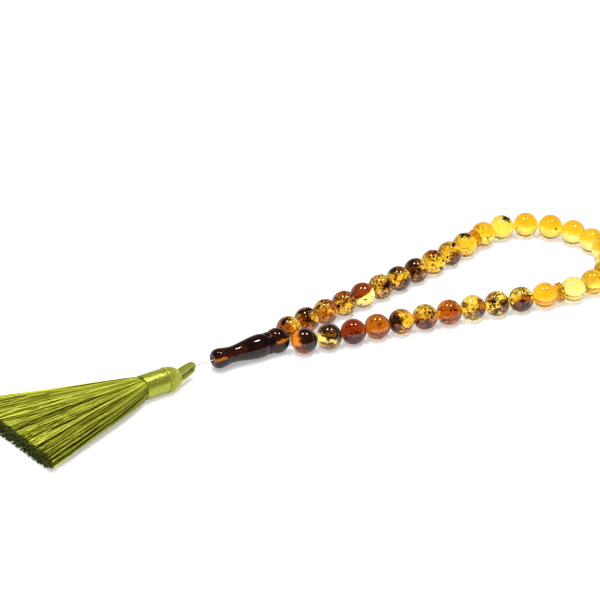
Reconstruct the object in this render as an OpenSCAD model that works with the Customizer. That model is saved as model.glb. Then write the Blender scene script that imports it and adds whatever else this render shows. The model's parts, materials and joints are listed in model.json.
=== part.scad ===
// Misbaha: amber beads in three runs on one thread, gathered by a turned imam and ended by a silk tassel.
// It lies on a table. +X runs from the tassel to the far end of the loop and +Z is up.

/* [Beads] */
// Diameter of a bead
bead_d = 10; // [9:0.5:14]
// Beads in each of the three runs
beads_per_run = 11; // [11:1:15]
// Space between neighbours on the thread
bead_gap = 0.2; // [0.15:0.05:0.4]

/* [Separators] */
// Diameter over the lobes of a separator
separator_d = 8.4; // [6:0.2:10]
// Thickness of a separator along the thread
separator_t = 2.2; // [1.8:0.2:4]
// Lobes round the rim of a separator
separator_lobes = 8; // [6:1:10]
// Depth of the flutes between the lobes
flute_depth = 0.7; // [0.3:0.1:1]

/* [Imam] */
// Diameter of the ball at the loop end
ball_d = 10; // [8.8:0.2:11.8]
// Diameter of the knob at the tassel end
knob_d = 7.8; // [7:0.2:11]
// Diameter of the flat face of the knob
face_d = 3.4; // [3:0.2:6]
// Diameter of the waist behind the knob
waist_d = 6.5; // [5:0.1:7.5]
// Diameter of the belly
belly_d = 9.3; // [8.4:0.1:12]
// Diameter of the two rings between belly and ball
ring_d = 8.7; // [7.8:0.1:9.6]
// Diameter of the grooves beside the rings
groove_d = 7.7; // [6:0.1:8.4]
// Length from the knob's face to its widest place
knob_len = 2.8; // [2:0.1:5]
// Length from the knob's widest place to the waist
waist_len = 5.6; // [3:0.1:8]
// Length from the waist to the belly's widest place
belly_len = 12.6; // [8:0.1:20]
// Length from the belly's widest place to the first ring
shoulder_len = 3; // [2:0.1:6]
// Width of each ring
ring_w = 1; // [0.6:0.1:2]

/* [Thread] */
// Thickness of the thread
thread_d = 0.3; // [0.3:0.05:0.6]
// Clearance round the thread in the bores
thread_clear = 0.45; // [0.3:0.05:0.5]
// Space between the two runs inside the imam
run_gap = 0.1; // [0.1:0.05:0.3]
// Length of bare thread at each end of the loop, before the first bead
loop_lead = 0.5; // [0.5:0.1:1]
// Length of bare thread between the imam and the tassel's eye
bare_thread = 8.8; // [7:0.2:20]

/* [Tassel eye] */
// Thickness of the cord of the eye
eye_cord_d = 1.9; // [1.4:0.1:2.2]
// Clear height inside the eye
eye_gap = 1.2; // [1.2:0.1:2.4]
// Length of the eye outside the tassel's head
eye_len = 8.5; // [6:0.1:12]
// Length of the eye's legs inside the tassel's head
leg_len = 5; // [3:0.5:7]
// Clearance between the thread's end loop and the cord of the eye
loop_clear = 0.15; // [0.1:0.05:0.3]
// Diameter of the knot inside the eye
knot_d = 0.9; // [0.7:0.1:0.9]

// Angle of the eye to the line of the imam
eye_turn = 23; // [0:1:30]

/* [Tassel head] */
// Angle of the tassel to the line of the imam
tassel_turn = 2; // [0:1:15]
// Diameter of the domed head
head_d = 10; // [9.8:0.1:14]
// Length of the dome
dome_len = 7.2; // [5:0.1:9]
// Diameter of the bundle under the satin wrap
neck_d = 8.6; // [7.6:0.1:8.6]
// Length of the satin wrap
wrap_len = 10.2; // [8:0.1:20]
// Thickness of the satin wrap
wrap_t = 0.6; // [0.3:0.05:0.65]
// Width of the hidden tie round the bundle
tie_w = 3; // [1:0.5:5]
// Depth of the hidden tie in the bundle
tie_t = 0.5; // [0.3:0.1:1]
// Fit between the pieces of the tassel
fit = 0.05; // [0.02:0.01:0.1]

/* [Tassel skirt] */
// Length of the silk strands below the wrap
skirt_len = 59; // [40:1:90]
// Width of the skirt at its cut end
skirt_w = 60; // [30:1:70]
// Height of the skirt at its cut end
skirt_h = 6.2; // [3:0.2:8]
// Sideways drift of the skirt at its cut end
skirt_drift = 2; // [0:1:15]
// Strands across the skirt
strand_cols = 30; // [20:1:34]
// Layers of strands
strand_rows = 10; // [6:1:10]
// Thickness of the slice of bundle that the strands grow from
slice_t = 1.5; // [1:0.5:3]

/* [Hidden] */
$fn = 48;
tube_sides = 8;
curve_steps = 16;

// The thread runs level at the height of the widest round piece
axis_z = max(bead_d, ball_d, belly_d, knob_d, head_d) / 2;
bead_bore = thread_d + 2 * thread_clear;
run_y = (thread_d + run_gap) / 2;
imam_bore = 2 * (run_y + thread_d / 2 + thread_clear);

// Loop of the thread, seen from above and chosen by hand, from the mouth of the ball and back to it
loop_route = [
    [-1.3, 4.4], [3, 6], [13, 9.5], [25, 12], [55, 20], [88, 29], [108, 37.5], [120, 42], [131, 40.5],
    [140, 33.5], [146.5, 24], [149, 12], [148, 1], [143, -9], [134, -17], [122, -21], [105, -19],
    [75, -14], [45, -10], [20, -8], [10, -6.6], [4, -5.7], [-1.5, -4.7]
];
// Turn of the whole loop about the ball, from the line of the imam
loop_turn = -4;
// First point of the farther run outside the ball's mouth, chosen by hand; the nearer run mirrors it
mouth_turn = [0.8, 0.7];

// Smooth curve that keeps inside the route's corners and starts and ends on its first and last point
route_last = len(loop_route) - 1;
spline_points = concat(
    [loop_route[0], loop_route[0]],
    loop_route,
    [loop_route[route_last], loop_route[route_last]]
);
function spline_weights(t) = [
    pow(1 - t, 3),
    3 * pow(t, 3) - 6 * pow(t, 2) + 4,
    3 * t + 3 * pow(t, 2) - 3 * pow(t, 3) + 1,
    pow(t, 3)
] / 6;
function spline_point(i, t) = spline_weights(t) * [for (j = [0:3]) spline_points[i + j]];
curve = concat(
    [for (i = [0:len(spline_points) - 4], j = [0:curve_steps - 1]) spline_point(i, j / curve_steps)],
    [loop_route[route_last]]
);
function step_length(i) = i < len(curve) ? norm(curve[i] - curve[i - 1]) : 0;
curve_length = [for (i = 0, s = 0; i < len(curve); s = s + step_length(i + 1), i = i + 1) s];
curve_x = [for (i = [0:len(curve) - 1]) [curve_length[i], curve[i][0]]];
curve_y = [for (i = [0:len(curve) - 1]) [curve_length[i], curve[i][1]]];

// Everything strung on the loop, in order: true for a bead, false for a separator
strung_last = 3 * beads_per_run + 1;
strung = [for (i = [0:strung_last]) (i + 1) % (beads_per_run + 1) != 0];
function strung_width(i) = strung[i] ? bead_d : separator_t;
strung_start = [
    for (i = 0, s = loop_lead; i <= strung_last; s = s + strung_width(i) + bead_gap, i = i + 1) s
];
loop_length = strung_start[strung_last] + strung_width(strung_last) + loop_lead;

// The loop is drawn to the size that its beads fill
loop_scale = loop_length / curve_length[len(curve) - 1];
mouth = [ball_d / 2, 0];
function turned(p, a) = [p[0] * cos(a) - p[1] * sin(a), p[0] * sin(a) + p[1] * cos(a)];
function on_curve(s) = [lookup(s, curve_x), lookup(s, curve_y)];
function on_loop(s) = turned(mouth + loop_scale * on_curve(s / loop_scale), loop_turn);
function middle(i) = strung_start[i] + strung_width(i) / 2;
centres = [for (i = [0:strung_last]) on_loop(middle(i))];
function heading(i) =
    let (step = on_loop(middle(i) + bead_d / 2) - on_loop(middle(i) - bead_d / 2))
    step / norm(step);
headings = [for (i = [0:strung_last]) heading(i)];
function bore_mouth(i, side) = centres[i] + side * strung_width(i) / 2 * headings[i];

// Stations along the imam, from the face of its knob
knob_s = knob_len;
waist_s = knob_s + waist_len;
belly_s = waist_s + belly_len;
rings_s = belly_s + shoulder_len;
ball_cut = sqrt(pow(ball_d / 2, 2) - pow(groove_d / 2, 2));
ball_s = rings_s + 2 * ring_w + ball_cut;
function ease(a, b, t) = a + (b - a) * (1 - cos(180 * t)) / 2;
imam_profile = concat(
    [[0, 0]],
    [for (a = [0:15:90]) [face_d / 2 + (knob_d - face_d) / 2 * sin(a), knob_s * (1 - cos(a))]],
    [for (t = [0.125:0.125:1]) [ease(knob_d, waist_d, t) / 2, knob_s + t * waist_len]],
    [for (t = [0.1:0.1:1]) [ease(waist_d, belly_d, t) / 2, waist_s + t * belly_len]],
    [for (a = [15:15:90]) [
        groove_d / 2 + (belly_d - groove_d) / 2 * cos(a),
        belly_s + shoulder_len * sin(a)
    ]],
    [for (n = [0:1], a = [20:20:180]) [
        groove_d / 2 + (ring_d - groove_d) / 2 * sin(a),
        rings_s + (n + (1 - cos(a)) / 2) * ring_w
    ]],
    [for (a = [atan2(groove_d / 2, -ball_cut) - 8:-8:1]) [
        ball_d / 2 * sin(a),
        ball_s + ball_d / 2 * cos(a)
    ]],
    [[0, ball_s + ball_d / 2]]
);

// Places along the line of the imam, seen from above, with the middle of the ball at zero
knob_x = -ball_s;
eye_x = knob_x - bare_thread;
end_loop_r = eye_cord_d / 2 + loop_clear + thread_d / 2;
thread_end_x = eye_x + end_loop_r + thread_d / 2 + loop_clear;
// Middle of the space between the ball and a bead beside it
function beside_ball(i) = centres[i] * (1 + (ball_d - bead_d) / 2 / norm(centres[i])) / 2;
thread_route = concat(
    [[thread_end_x, run_y], mouth + [-thread_clear, run_y], mouth + mouth_turn],
    [beside_ball(0), on_loop(0)],
    [for (i = [0:strung_last - 1]) (bore_mouth(i, 1) + bore_mouth(i + 1, -1)) / 2],
    [on_loop(loop_length), beside_ball(strung_last)],
    [mouth + [mouth_turn[0], -mouth_turn[1]], mouth + [-thread_clear, -run_y], [thread_end_x, -run_y]]
);

// Places along the tassel, from the tip of its eye
leg_z = (eye_gap + eye_cord_d) / 2;
wrap_x = eye_len + dome_len;
seam_x = wrap_x + wrap_len;
// Share of the wrap's thickness at its ends, and how soon it swells to the whole
wrap_end_share = 0.5;
wrap_swell = 0.4;

// Skirt: a square of strands, rounded to fill the bundle, fans out flat to its cut end
corner_round = 0.7;
bundle_r = neck_d / 2 / (sqrt(2) * sqrt(1 - corner_round / 2));
skirt_lift = 0.1;
strand_share = 0.44;
strand_turns = [210, 330, 90];
strand_stations = [0, 0.12, 0.45, 1];
strand_count = strand_cols * strand_rows;
// How soon the skirt spreads
spread_power = 0.85;
function bundle_place(p) = [
    p[0] * sqrt(1 - corner_round * pow(p[1], 2) / 2),
    p[1] * sqrt(1 - corner_round * pow(p[0], 2) / 2)
];
function skirt_half_w(t) = bundle_r + (skirt_w / 2 - bundle_r) * pow(t, spread_power);
function skirt_half_h(t) = bundle_r + (skirt_h / 2 - bundle_r) * pow(t, 2);
function skirt_floor(t) = skirt_lift + (axis_z - bundle_r - skirt_lift) * pow(1 - t, 2);
function skirt_point(p, t) =
    let (q = bundle_place(p))
    [
        seam_x + skirt_len * t,
        skirt_half_w(t) * q[0] - skirt_drift * t,
        skirt_floor(t) + skirt_half_h(t) * (1 + q[1])
    ];
function cell_corner(c, r) = [2 * c / strand_cols - 1, 2 * r / strand_rows - 1];
function strand_corner(c, r, turn) =
    cell_corner(c + 0.5 + strand_share * cos(turn), r + 0.5 + strand_share * sin(turn));
strand_points = [
    for (r = [0:strand_rows - 1], c = [0:strand_cols - 1], t = strand_stations, turn = strand_turns)
        skirt_point(strand_corner(c, r, turn), t)
];
rim_cells = concat(
    [for (c = [0:strand_cols - 1]) [c, 0]],
    [for (r = [0:strand_rows - 1]) [strand_cols, r]],
    [for (c = [strand_cols:-1:1]) [c, strand_rows]],
    [for (r = [strand_rows:-1:1]) [0, r]]
);

// The part is centred over its own box
apex = [eye_x, 0] + turned([eye_len, 0], 180 + eye_turn);
skirt_plan = [for (p = strand_points) apex + turned([p[0] - eye_len, p[1]], 180 + tassel_turn)];
low = [for (k = [0:1]) min(concat([for (p = skirt_plan) p[k]], [for (p = centres) p[k] - bead_d / 2]))];
high = [for (k = [0:1]) max(concat([for (p = skirt_plan) p[k]], [for (p = centres) p[k] + bead_d / 2]))];
box_middle = (low + high) / 2;

// Names of the strung pieces
bead_places = [for (i = [0:strung_last]) if (strung[i]) i];
separator_places = [for (i = [0:strung_last]) if (!strung[i]) i];
bead_names = [for (i = [1:len(bead_places)]) str("bead_", i < 10 ? "0" : "", i)];
separator_names = [for (i = [1:len(separator_places)]) str("separator_", i)];

dark_amber = [0.22, 0.07, 0.03];
brown_amber = [0.55, 0.27, 0.06];
honey_amber = [0.93, 0.62, 0.09];
lemon_amber = [0.98, 0.8, 0.2];
green_silk = [0.5, 0.55, 0.11];
dark_silk = [0.3, 0.34, 0.05];
pale_thread = [0.9, 0.87, 0.78];
turn_to_lemon = beads_per_run / 3;
turn_to_honey = beads_per_run * 0.6;
turn_to_brown = beads_per_run * 1.35;
function bead_tone(steps) =
    steps < turn_to_lemon ? lemon_amber :
    steps < turn_to_honey ? honey_amber :
    steps < turn_to_brown ? brown_amber : dark_amber;

// Puts a piece that is made round the Z axis on the loop, with that axis along the thread
module on_thread(i)
    translate([centres[i][0] - box_middle[0], centres[i][1] - box_middle[1], axis_z])
        rotate([0, 90, atan2(headings[i][1], headings[i][0])])
            children();

// Puts a piece that is made on the line of the imam in its place
module on_imam_line(x)
    translate([x - box_middle[0], -box_middle[1], axis_z])
        children();

// Puts the eye, made along +X from the line of its tip, in its place
module on_eye()
    on_imam_line(eye_x)
        rotate([0, 0, 180 + eye_turn])
            children();

// Turns a piece about the top of the dome
module turn_at_dome(turn)
    translate([eye_len, 0])
        rotate([0, 0, turn])
            translate([-eye_len, 0])
                children();

// Puts a piece of the tassel, made along +X on one line with the eye, in its place
module on_tassel()
    on_eye()
        turn_at_dome(tassel_turn - eye_turn)
            children();

module bore(length, width)
    cylinder(h = length + 2, d = width, center = true);

module bead(number)
    color(bead_tone(abs(number - (len(bead_places) - 1) / 2)))
        on_thread(bead_places[number])
            difference() {
                sphere(d = bead_d);
                bore(bead_d, bead_bore);
            }

module separator(number) {
    rim = separator_t / 2;
    flute_r = separator_d * sin(180 / separator_lobes) / 2;
    color(honey_amber)
        on_thread(separator_places[number])
            difference() {
                rotate_extrude()
                    polygon(concat(
                        [[0, -rim]],
                        [for (a = [-90:18:90]) [separator_d / 2 - rim + rim * cos(a), rim * sin(a)]],
                        [[0, rim]]
                    ));
                for (k = [0:separator_lobes - 1])
                    rotate(k * 360 / separator_lobes)
                        translate([separator_d / 2 + flute_r - flute_depth, 0])
                            bore(separator_t, 2 * flute_r);
                bore(separator_t, bead_bore);
            }
}

module imam()
    color(dark_amber)
        on_imam_line(knob_x)
            rotate([0, 90, 0])
                difference() {
                    rotate_extrude()
                        polygon(imam_profile);
                    bore(2 * (ball_s + ball_d), imam_bore);
                }

// One tube along the thread's route, mitred at each corner
function thread_side(i) =
    let (
        count = len(thread_route),
        before = thread_route[max(i, 1)] - thread_route[max(i, 1) - 1],
        after = thread_route[min(i, count - 2) + 1] - thread_route[min(i, count - 2)],
        along = before / norm(before) + after / norm(after),
        side = [-along[1], along[0]] / norm(along),
        edge = [-before[1], before[0]] / norm(before)
    )
    side / (side * edge);

module stringing_thread() {
    count = len(thread_route);
    sides = [for (i = [0:count - 1]) thread_side(i)];
    points = [
        for (i = [0:count - 1], k = [0:tube_sides - 1])
            let (
                turn = 360 * (k + 0.5) / tube_sides,
                out = thread_d / 2 * cos(turn) * sides[i]
            )
            [thread_route[i][0] + out[0], thread_route[i][1] + out[1], thread_d / 2 * sin(turn)]
    ];
    walls = [
        for (i = [0:count - 2], k = [0:tube_sides - 1])
            let (a = i * tube_sides + k, b = i * tube_sides + (k + 1) % tube_sides)
            each [[a, b, b + tube_sides], [a, b + tube_sides, a + tube_sides]]
    ];
    near_cap = [for (k = [tube_sides - 1:-1:0]) k];
    far_cap = [for (k = [0:tube_sides - 1]) (count - 1) * tube_sides + k];
    color(pale_thread)
        on_imam_line(0)
            polyhedron(points, concat(walls, [near_cap, far_cap]));
}

module thread_knot()
    color(pale_thread)
        on_imam_line(eye_x) {
            rotate_extrude()
                translate([end_loop_r, 0])
                    circle(d = thread_d);
            rotate([0, 0, 180 + eye_turn])
                translate([end_loop_r + (knot_d - thread_d) / 2, 0])
                    sphere(d = knot_d);
        }

// The cord of the eye: a half ring with two straight legs that run into the head
module eye_cord() {
    translate([leg_z, 0])
        rotate([90, 0, 0])
            rotate([0, 0, 90])
                rotate_extrude(angle = 180)
                    translate([leg_z, 0])
                        circle(d = eye_cord_d);
    for (side = [-1, 1])
        translate([leg_z, 0, side * leg_z])
            rotate([0, 90, 0])
                cylinder(h = eye_len + leg_len - leg_z, d = eye_cord_d);
}

module tassel_eye()
    color(green_silk)
        on_eye()
            eye_cord();

module tassel_head() {
    tie_x = wrap_x + (wrap_len - tie_w) / 2;
    neck_r = neck_d / 2;
    color(green_silk)
        on_tassel()
            difference() {
                rotate([0, 90, 0])
                    rotate_extrude()
                        polygon(concat(
                            [for (a = [0:10:90]) [head_d / 2 * sin(a), eye_len + dome_len * (1 - cos(a))]],
                            [
                                [neck_r, wrap_x],
                                [neck_r, tie_x - fit],
                                [neck_r - tie_t, tie_x - fit],
                                [neck_r - tie_t, tie_x + tie_w + fit],
                                [neck_r, tie_x + tie_w + fit],
                                [neck_r, seam_x - slice_t - fit],
                                [0, seam_x - slice_t - fit]
                            ]
                        ));
                turn_at_dome(eye_turn - tassel_turn)
                    for (side = [-1, 1])
                        translate([0, 0, side * leg_z])
                            rotate([0, 90, 0])
                                cylinder(h = eye_len + leg_len + fit, d = eye_cord_d + 2 * fit);
            }
}

module tassel_tie()
    color(dark_silk)
        on_tassel()
            translate([wrap_x + wrap_len / 2, 0])
                rotate([0, 90, 0])
                    difference() {
                        cylinder(h = tie_w, d = neck_d, center = true);
                        bore(tie_w, neck_d - 2 * tie_t + 2 * fit);
                    }

module tassel_wrap() {
    inner = neck_d / 2 + fit;
    function ease_up(t) = wrap_end_share + (1 - wrap_end_share) * pow(sin(180 * t), wrap_swell);
    color(green_silk)
        on_tassel()
            rotate([0, 90, 0])
                rotate_extrude()
                    polygon(concat(
                        [[inner, seam_x], [inner, wrap_x + fit]],
                        [for (t = [0:0.1:1]) [
                            inner + wrap_t * ease_up(t),
                            wrap_x + fit + t * (wrap_len - fit)
                        ]]
                    ));
}

// Strands of silk that grow from one slice of the bundle, made as one closed surface
module tassel_skirt() {
    per_strand = len(strand_stations) * len(strand_turns);
    lattice_at = len(strand_points);
    rim_at = lattice_at + (strand_cols + 1) * (strand_rows + 1);
    rim_count = len(rim_cells);
    hub_at = rim_at + rim_count;
    function lattice(c, r) = lattice_at + r * (strand_cols + 1) + c;
    function rim(i) = lattice(rim_cells[i % rim_count][0], rim_cells[i % rim_count][1]);
    lattice_points = [
        for (r = [0:strand_rows], c = [0:strand_cols]) skirt_point(cell_corner(c, r), 0)
    ];
    back_points = [
        for (cell = rim_cells) skirt_point(cell_corner(cell[0], cell[1]), 0) - [slice_t, 0, 0]
    ];
    hub_point = [seam_x - slice_t, 0, axis_z];
    cell_faces = [
        for (r = [0:strand_rows - 1], c = [0:strand_cols - 1])
            let (
                s = (r * strand_cols + c) * per_strand,
                p = lattice(c, r),
                q = lattice(c + 1, r),
                u = lattice(c + 1, r + 1),
                v = lattice(c, r + 1)
            )
            each [
                [p, s + 1, q], [p, s, s + 1], [q, s + 1, u], [u, s + 1, s + 2],
                [u, s + 2, v], [v, s, p], [v, s + 2, s]
            ]
    ];
    strand_walls = [
        for (strand = [0:strand_count - 1], ring = [0:len(strand_stations) - 2], k = [0:2])
            let (
                a = strand * per_strand + ring * 3 + k,
                b = strand * per_strand + ring * 3 + (k + 1) % 3
            )
            each [[a, b + 3, b], [a, a + 3, b + 3]]
    ];
    strand_ends = [
        for (strand = [0:strand_count - 1])
            let (a = (strand + 1) * per_strand - 3)
            [a, a + 2, a + 1]
    ];
    rim_walls = [
        for (i = [0:rim_count - 1])
            let (back = rim_at + i, back_next = rim_at + (i + 1) % rim_count)
            each [[rim(i + 1), back, rim(i)], [rim(i + 1), back_next, back]]
    ];
    back_faces = [
        for (i = [0:rim_count - 1]) [hub_at, rim_at + i, rim_at + (i + 1) % rim_count]
    ];
    color(green_silk)
        on_tassel()
            translate([0, 0, -axis_z])
                polyhedron(
                    concat(strand_points, lattice_points, back_points, [hub_point]),
                    concat(cell_faces, strand_walls, strand_ends, rim_walls, back_faces)
                );
}

for (i = [0:len(bead_names) - 1])
    bead(i);
for (i = [0:len(separator_names) - 1])
    separator(i);
imam();
stringing_thread();
thread_knot();
tassel_eye();
tassel_head();
tassel_tie();
tassel_wrap();
tassel_skirt();
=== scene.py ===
"""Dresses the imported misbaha: amber beads and a turned imam on a twisted thread, with a silk tassel.

Every piece is made in metres in the part's own frame and rides on one of the part's bodies.
"""

import json
import logging
import math
from dataclasses import dataclass
from enum import Enum
from typing import Callable, Dict, List, Optional, Sequence, Tuple, Union

import bmesh
import bpy
from mathutils import Matrix, Vector


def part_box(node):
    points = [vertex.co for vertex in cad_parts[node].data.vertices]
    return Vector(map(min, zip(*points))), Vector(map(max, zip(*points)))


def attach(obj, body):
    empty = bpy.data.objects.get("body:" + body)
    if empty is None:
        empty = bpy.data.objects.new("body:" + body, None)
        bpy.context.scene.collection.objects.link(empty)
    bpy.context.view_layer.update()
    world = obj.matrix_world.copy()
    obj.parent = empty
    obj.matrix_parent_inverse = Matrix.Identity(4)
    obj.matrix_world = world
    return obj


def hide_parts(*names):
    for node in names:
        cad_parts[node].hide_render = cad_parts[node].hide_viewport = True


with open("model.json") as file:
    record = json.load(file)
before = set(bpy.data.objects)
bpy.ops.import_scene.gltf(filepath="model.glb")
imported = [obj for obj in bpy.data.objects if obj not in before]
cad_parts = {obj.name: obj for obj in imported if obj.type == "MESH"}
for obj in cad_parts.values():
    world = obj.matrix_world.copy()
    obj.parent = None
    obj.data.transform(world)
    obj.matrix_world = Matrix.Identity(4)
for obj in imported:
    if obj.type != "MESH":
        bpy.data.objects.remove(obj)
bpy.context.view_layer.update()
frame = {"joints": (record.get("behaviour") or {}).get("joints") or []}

MM = 0.001
WELD = 0.0001 * MM
BEADS_IN_RUN = 11
EYE_CORD_D = 1.9 * MM
EYE_TURN = math.radians(23)

Colour = Tuple[float, float, float]
Outline = List[Tuple[float, float]]
Band = Tuple[float, float]
Way = Tuple[float, float, float]
Noise = Tuple[float, ...]
Value = Union[float, int, str, bool, Sequence[float], "Sock", bpy.types.Material]

log = logging.getLogger("misbaha")


def operator(operation: str, swapped: bool = False) -> Callable[..., "Sock"]:
    """Makes a method of Sock that adds one Math node.

    Args:
        operation: The Math node's operation.
        swapped: Whether the other value comes first.

    Returns:
        The method, which takes the other value where the operation has one.
    """

    def method(self: "Sock", *others: Value) -> "Sock":
        """Adds the node on this output and the other value."""
        values = (*others, self) if swapped else (self, *others)
        return self.graph.add("ShaderNodeMath", {"operation": operation}, dict(enumerate(values)))

    return method


class Sock:
    """A node's output that takes part in arithmetic: each operator adds one Math node."""

    __add__ = __radd__ = operator("ADD")
    __sub__ = operator("SUBTRACT")
    __rsub__ = operator("SUBTRACT", swapped=True)
    __mul__ = __rmul__ = operator("MULTIPLY")
    __truediv__ = operator("DIVIDE")
    __pow__ = operator("POWER")
    __mod__ = operator("FLOORED_MODULO")
    __lt__ = operator("LESS_THAN")
    at_least = operator("MAXIMUM")
    floor = operator("FLOOR")
    root = operator("SQRT")
    sin = operator("SINE")
    cos = operator("COSINE")

    def __init__(self, graph: "Graph", socket: bpy.types.NodeSocket) -> None:
        """Wraps one output of a node in a graph."""
        self.graph = graph
        self.socket = socket

    def step(self, low: Value, high: Value) -> "Sock":
        """Rises smoothly from 0 at low to 1 at high."""
        sizes = {"Value": self, "From Min": low, "From Max": high}
        return self.graph.add("ShaderNodeMapRange", {"interpolation_type": "SMOOTHSTEP"}, sizes)


def pick(sockets: Sequence[bpy.types.NodeSocket], key: Union[int, str]) -> bpy.types.NodeSocket:
    """Finds one of a node's sockets that are in use.

    Args:
        sockets: The node's inputs or outputs.
        key: A place among the sockets in use, or a socket's name.

    Returns:
        The socket.
    """
    used = [socket for socket in sockets if socket.enabled]
    if isinstance(key, int):
        return used[key]
    return next(socket for socket in used if socket.name == key)


class Graph:
    """A node tree that is written as expressions."""

    def __init__(self, tree: bpy.types.NodeTree) -> None:
        """Opens a tree for writing."""
        self.tree = tree

    def set(self, socket: bpy.types.NodeSocket, value: Value) -> None:
        """Gives a socket a link or a value of its own.

        Args:
            socket: The input to fill.
            value: An output to link, or a plain value.
        """
        if isinstance(value, Sock):
            self.tree.links.new(value.socket, socket)
        elif socket.type == "RGBA":
            socket.default_value = (*value, 1.0)
        else:
            socket.default_value = value

    def add(
        self,
        kind: str,
        settings: Optional[Dict[str, object]] = None,
        inputs: Optional[Dict[Union[int, str], Value]] = None,
        output: Union[int, str] = 0,
    ) -> Sock:
        """Adds one node.

        Args:
            kind: The node's type.
            settings: Its properties, which are set first.
            inputs: Values or links of its sockets, by name or place.
            output: The output that is wanted.

        Returns:
            That output.
        """
        node = self.tree.nodes.new(kind)
        for name, setting in (settings or {}).items():
            setattr(node, name, setting)
        for key, value in (inputs or {}).items():
            self.set(pick(node.inputs, key), value)
        return Sock(self, pick(node.outputs, output))

    def mix(self, first: Value, second: Value, share: Value) -> Sock:
        """Mixes two colours; share is how much of the second is taken."""
        return self.add("ShaderNodeMix", {"data_type": "RGBA"}, {0: share, 1: first, 2: second})

    def vector(self, operation: str, *values: Value) -> Sock:
        """Adds a Vector Math node."""
        return self.add("ShaderNodeVectorMath", {"operation": operation}, dict(enumerate(values)))

    def xyz(self, x: Value, y: Value, z: Value) -> Sock:
        """Joins three numbers to a vector."""
        return self.add("ShaderNodeCombineXYZ", None, {"X": x, "Y": y, "Z": z})

    def parts(self, vector: Sock) -> List[Sock]:
        """Splits a vector into its three numbers."""
        node = self.add("ShaderNodeSeparateXYZ", None, {"Vector": vector}).socket.node
        return [Sock(self, output) for output in node.outputs]

    def scaled(self, vector: Sock, factor: Value) -> Sock:
        """Makes a vector longer or shorter."""
        return self.add("ShaderNodeVectorMath", {"operation": "SCALE"}, {0: vector, "Scale": factor})

    def noise(self, where: Sock, scale: float, detail: float = 2.0, rough: float = 0.5) -> Sock:
        """Gives noise from 0 to 1 at a place."""
        sizes = {"Vector": where, "Scale": scale, "Detail": detail, "Roughness": rough}
        return self.add("ShaderNodeTexNoise", None, sizes)

    def waver(self, where: Sock, *noise: float) -> Sock:
        """Gives noise from -0.5 to 0.5 at a place."""
        return self.noise(where, *noise) - 0.5

    def chance(self, low: float, high: float, which: Value, seed: int) -> Sock:
        """Gives each numbered thing its own fixed random number."""
        sizes = {"Min": low, "Max": high, "ID": which, "Seed": seed}
        return self.add("FunctionNodeRandomValue", {"data_type": "FLOAT"}, sizes)


class Paint:
    """A material with one Principled shader."""

    def __init__(self, name: str, constants: Dict[str, Value]) -> None:
        """Opens a material.

        Args:
            name: The material's name.
            constants: What is the same all over the surface, by the shader's own sockets.
        """
        self.material = bpy.data.materials.new(name)
        self.material.use_nodes = True
        self.graph = Graph(self.material.node_tree)
        self.shader = self.material.node_tree.nodes["Principled BSDF"]
        for socket, value in constants.items():
            self.feed(socket, value)

    def feed(self, socket: str, value: Value) -> None:
        """Sets or links one of the shader's sockets."""
        self.graph.set(self.shader.inputs[socket], value)

    def place(self, centre: Sequence[float], unit: float, shift: float = 0.0) -> Sock:
        """Gives the place on the surface, measured from a centre.

        Args:
            centre: The place that counts as zero, in metres.
            unit: The length that counts as one, in metres.
            shift: A number added on each axis, so that like pieces get patterns of their own.

        Returns:
            The place as a vector.
        """
        where = self.graph.add("ShaderNodeTexCoord", None, None, "Object")
        sizes = {
            "Vector": where,
            "Location": [shift - c / unit for c in centre],
            "Scale": [1 / unit] * 3,
        }
        return self.graph.add("ShaderNodeMapping", None, sizes)

    def attribute(self, name: str) -> Sock:
        """Reads a number that the mesh carries."""
        return self.graph.add("ShaderNodeAttribute", {"attribute_name": name}, None, "Fac")


@dataclass(frozen=True)
class AmberTone:
    """One kind of amber: its bright and its deep colour, and how clear it is."""

    bright: Colour
    deep: Colour
    clear: float = 1.0

    def skin(self) -> Colour:
        """Gives the colour of a patch, which tints light once where the body tints it twice."""
        red, green, blue = self.bright
        return red**2, green**2, blue**2


class Amber(Enum):
    """The kinds of amber on the strand, from the far end of the loop to the imam."""

    LEMON = AmberTone((1.0, 0.88, 0.25), (1.0, 0.76, 0.11))
    STRAW = AmberTone((1.0, 0.76, 0.09), (1.0, 0.62, 0.04))
    HONEY = AmberTone((1.0, 0.62, 0.03), (0.97, 0.45, 0.012))
    MILKY = AmberTone((1.0, 0.58, 0.01), (1.0, 0.45, 0.006), 0.75)
    GOLD = AmberTone((0.97, 0.6, 0.05), (0.6, 0.22, 0.009))
    ORANGE = AmberTone((0.9, 0.34, 0.015), (0.65, 0.18, 0.008))
    EMBER = AmberTone((0.95, 0.28, 0.01), (0.6, 0.1, 0.004))
    BROWN = AmberTone((0.5, 0.16, 0.01), (0.28, 0.06, 0.004))
    CHERRY = AmberTone((0.3, 0.048, 0.004), (0.09, 0.011, 0.003))
    BLACK = AmberTone((0.03, 0.012, 0.006), (0.01, 0.004, 0.002))


@dataclass(frozen=True)
class Patch:
    """A stretch of another tone on one side of a bead.

    The side is given as seen in the picture: how far right, up and nearer.
    """

    tone: Amber
    side: Way
    edge: float = 0.2
    soft: float = 0.15


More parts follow.
